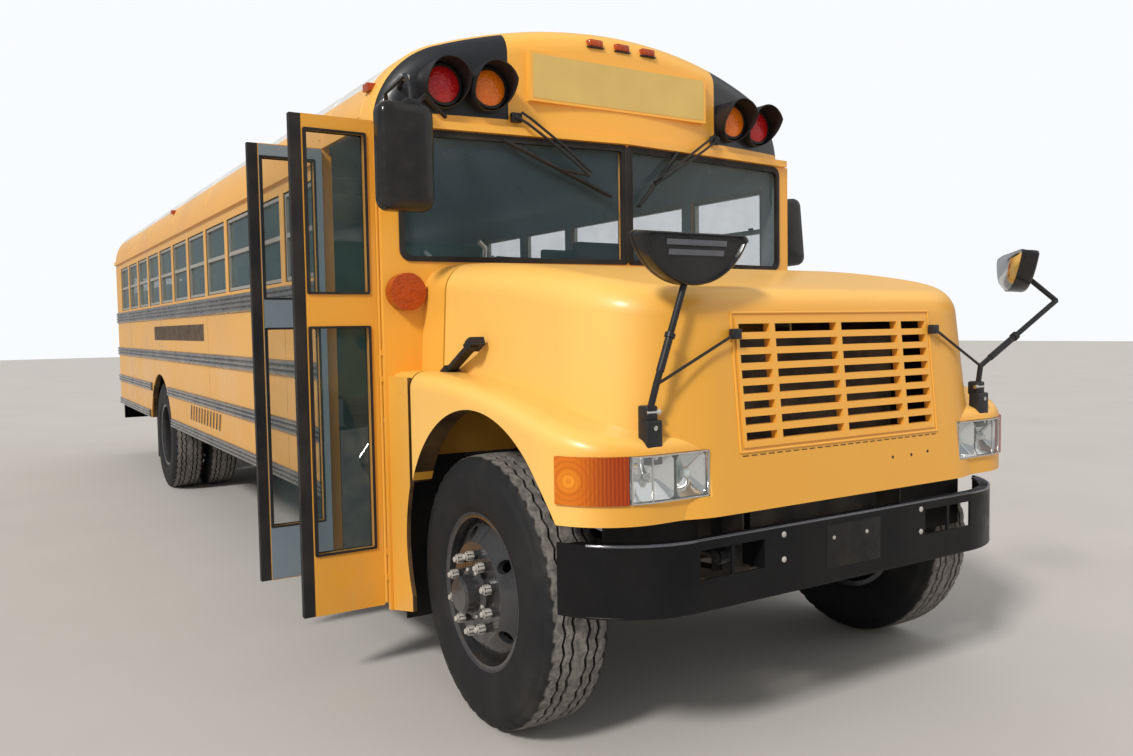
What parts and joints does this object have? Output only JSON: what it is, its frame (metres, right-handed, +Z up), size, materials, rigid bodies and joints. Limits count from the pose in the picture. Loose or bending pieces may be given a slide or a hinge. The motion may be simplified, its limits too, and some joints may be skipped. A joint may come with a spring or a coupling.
{
  "type": "school bus",
  "caption": "Conventional school bus with a tilting hood, folding entrance door, rear emergency door, stop arm, steered front wheels and twin rear wheels.",
  "frame": {"origin": "on the road, on the bus's centreline, midway between the front and rear bumpers", "axes": "+X forward, +Y to the bus's left, +Z up"},
  "size_m": [10.8143, 3.0918, 2.9449],
  "materials": {
    "body_yellow": "gloss, sun-faded",
    "hood_yellow": "satin, slightly chalked",
    "grille_yellow": "satin",
    "door_yellow": "gloss",
    "rail_black": "worn semi-gloss",
    "bumper_black": "semi-gloss, dusty",
    "chassis_black": "satin, dusty",
    "engine_grey": "rough",
    "exhaust_steel": "heat-stained",
    "floor_grey": "ribbed mat",
    "sash_aluminium": "satin",
    "window_glass": "tinted clear",
    "shield_glass": "clear",
    "amber_lens": "moulded lens",
    "red_lens": "moulded lens",
    "clear_lens": "moulded lens",
    "trim_black": "matt",
    "mirror_black": "grained",
    "rubber_black": "matt",
    "seat_vinyl": "grained vinyl",
    "driver_vinyl": "grained vinyl",
    "dash_grey": "grained",
    "stop_red": "gloss",
    "tyre_rubber": "dusty",
    "rim_black": "semi-gloss"
  },
  "bodies": {
    "body": {"frame_rails": "chassis_black", "leaf_springs": "chassis_black", "front_axle": "chassis_black", "rear_axle": "chassis_black", "drive_shaft": "chassis_black", "engine_block": "engine_grey", "radiator": "chassis_black", "fuel_tank": "chassis_black", "exhaust": "exhaust_steel", "front_bumper": "bumper_black", "rear_bumper": "bumper_black", "floor": "floor_grey", "wall_right": "body_yellow", "wall_left": "body_yellow", "roof": "body_yellow", "front_wall": "body_yellow", "front_cap": "body_yellow", "rear_wall": "body_yellow", "rub_rails": "rail_black", "window_sashes": "sash_aluminium", "side_glass": "window_glass", "windshield": "shield_glass", "amber_lamps": "amber_lens", "red_lamps": "red_lens", "lamp_hoods": "trim_black", "wipers": "trim_black", "outside_mirrors": "mirror_black", "stop_arm_bracket": "trim_black", "passenger_seats": "seat_vinyl", "driver_seat": "driver_vinyl", "dashboard": "dash_grey", "mud_flaps": "rubber_black"},
    "hood": {"hood_shell": "hood_yellow", "grille": "grille_yellow", "headlamps": "clear_lens", "hood_turn_lamps": "amber_lens", "cross_view_mirrors": "mirror_black", "hood_latches": "rubber_black"},
    "door_front": {"door_front_leaf": "door_yellow", "door_front_glass": "window_glass", "door_front_seal": "rubber_black"},
    "door_rear": {"door_rear_leaf": "door_yellow", "door_rear_glass": "window_glass", "door_rear_seal": "rubber_black"},
    "exit_door": {"emergency_door": "body_yellow", "emergency_glass": "window_glass"},
    "stop_arm": {"stop_arm": "stop_red"},
    "knuckle_right": {"knuckle_right": "chassis_black"},
    "knuckle_left": {"knuckle_left": "chassis_black"},
    "tie_rod": {"tie_rod": "chassis_black"},
    "front_wheel_right": {"front_tyre_right": "tyre_rubber", "front_rim_right": "rim_black"},
    "front_wheel_left": {"front_tyre_left": "tyre_rubber", "front_rim_left": "rim_black"},
    "rear_wheels_right": {"rear_tyres_right": "tyre_rubber", "rear_rims_right": "rim_black"},
    "rear_wheels_left": {"rear_tyres_left": "tyre_rubber", "rear_rims_left": "rim_black"}
  },
  "joints": [
    {"name": "hood_tilt", "type": "hinge", "parent": "body", "child": "hood", "pos_m": [5.2175, 0, 0.7], "axis": [0, 1, 0], "range_deg": [0, 70]},
    {"name": "door_front_close", "type": "hinge", "parent": "body", "child": "door_front", "pos_m": [3.8235, -1.225, 1.32], "axis": [0, 0, -1], "range_deg": [0, 90]},
    {"name": "door_rear_close", "type": "hinge", "parent": "body", "child": "door_rear", "pos_m": [3.0795, -1.225, 1.32], "axis": [0, 0, 1], "range_deg": [0, 90]},
    {"name": "exit_door_open", "type": "hinge", "parent": "body", "child": "exit_door", "pos_m": [-5.2445, -0.33, 1.6], "axis": [0, 0, 1], "range_deg": [0, 110]},
    {"name": "stop_arm_out", "type": "hinge", "parent": "body", "child": "stop_arm", "pos_m": [2.6655, 1.271, 1.48], "axis": [0, 0, -1], "range_deg": [0, 90]},
    {"name": "steer_right", "type": "hinge", "parent": "body", "child": "knuckle_right", "pos_m": [4.5575, -0.865, 0.52], "axis": [0, 0, 1], "range_deg": [-32, 32]},
    {"name": "steer_left", "type": "hinge", "parent": "body", "child": "knuckle_left", "pos_m": [4.5575, 0.865, 0.52], "axis": [0, 0, 1], "range_deg": [-32, 32]},
    {"name": "tie_rod_turn", "type": "hinge", "parent": "knuckle_right", "child": "tie_rod", "pos_m": [4.3575, -0.82, 0.425], "axis": [0, 0, 1], "range_deg": [-32, 32]},
    {"name": "front_right_spin", "type": "hinge", "parent": "knuckle_right", "child": "front_wheel_right", "pos_m": [4.5575, -1.01, 0.52], "axis": [0, 1, 0], "continuous": true},
    {"name": "front_left_spin", "type": "hinge", "parent": "knuckle_left", "child": "front_wheel_left", "pos_m": [4.5575, 1.01, 0.52], "axis": [0, 1, 0], "continuous": true},
    {"name": "rear_right_spin", "type": "hinge", "parent": "body", "child": "rear_wheels_right", "pos_m": [-2.1625, -0.897, 0.52], "axis": [0, 1, 0], "continuous": true},
    {"name": "rear_left_spin", "type": "hinge", "parent": "body", "child": "rear_wheels_left", "pos_m": [-2.1625, 0.897, 0.52], "axis": [0, 1, 0], "continuous": true}
  ],
  "couplings": [
    {"joint": "door_rear_close", "follows": "door_front_close", "ratio": 1},
    {"joint": "steer_left", "follows": "steer_right", "ratio": 1},
    {"joint": "tie_rod_turn", "follows": "steer_right", "ratio": -1}
  ]
}
